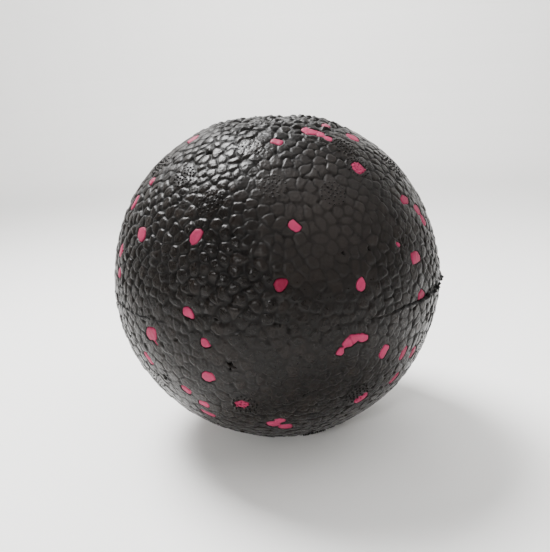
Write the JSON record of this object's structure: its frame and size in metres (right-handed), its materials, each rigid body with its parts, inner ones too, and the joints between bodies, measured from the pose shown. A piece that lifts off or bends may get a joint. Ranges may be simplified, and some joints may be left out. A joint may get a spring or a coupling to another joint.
{
  "type": "bead foam ball",
  "caption": "Moulded bead-foam ball with pink beads set in black foam, a parting line, steam-vent pads and a small flat at each pole.",
  "frame": {"origin": "centre of the ball", "axes": "+Z along the mould's closing axis towards the filling flat, parting line in the XY plane, -Y towards the near side"},
  "size_m": [0.0808, 0.0808, 0.0778],
  "materials": {
    "black_foam": "moulded bead foam with a faint sheen",
    "pink_foam": "moulded bead foam with a faint sheen"
  },
  "bodies": {
    "root": {"foam_body": "black_foam", "pink_bead_01": "pink_foam", "pink_bead_02": "pink_foam", "pink_bead_03": "pink_foam", "pink_bead_04": "pink_foam", "pink_bead_05": "pink_foam", "pink_bead_06": "pink_foam", "pink_bead_07": "pink_foam", "pink_bead_08": "pink_foam", "pink_bead_09": "pink_foam", "pink_bead_11": "pink_foam", "pink_bead_12": "pink_foam", "pink_bead_13": "pink_foam", "pink_bead_14": "pink_foam", "pink_bead_15": "pink_foam", "pink_bead_16": "pink_foam", "pink_bead_17": "pink_foam", "pink_bead_19": "pink_foam", "pink_bead_20": "pink_foam", "pink_bead_21": "pink_foam", "pink_bead_23": "pink_foam", "pink_bead_24": "pink_foam", "pink_bead_25": "pink_foam", "pink_bead_26": "pink_foam", "pink_bead_27": "pink_foam", "pink_bead_29": "pink_foam", "pink_bead_30": "pink_foam", "pink_bead_31": "pink_foam", "pink_bead_32": "pink_foam", "pink_bead_34": "pink_foam", "pink_bead_35": "pink_foam", "pink_bead_36": "pink_foam", "pink_bead_37": "pink_foam", "pink_bead_38": "pink_foam", "pink_bead_39": "pink_foam", "pink_bead_40": "pink_foam", "pink_bead_41": "pink_foam", "pink_bead_42": "pink_foam", "pink_bead_43": "pink_foam", "pink_bead_44": "pink_foam", "pink_bead_45": "pink_foam", "pink_bead_46": "pink_foam", "pink_bead_47": "pink_foam", "pink_bead_48": "pink_foam", "pink_bead_49": "pink_foam", "pink_bead_50": "pink_foam", "pink_bead_51": "pink_foam", "pink_bead_52": "pink_foam", "pink_bead_53": "pink_foam", "pink_bead_54": "pink_foam", "pink_bead_55": "pink_foam", "pink_bead_56": "pink_foam", "pink_bead_57": "pink_foam", "pink_bead_58": "pink_foam", "pink_bead_59": "pink_foam", "pink_bead_cluster_10": "pink_foam", "pink_bead_cluster_18": "pink_foam", "pink_bead_cluster_22": "pink_foam", "pink_bead_cluster_28": "pink_foam", "pink_bead_cluster_33": "pink_foam"}
  },
  "joints": []
}
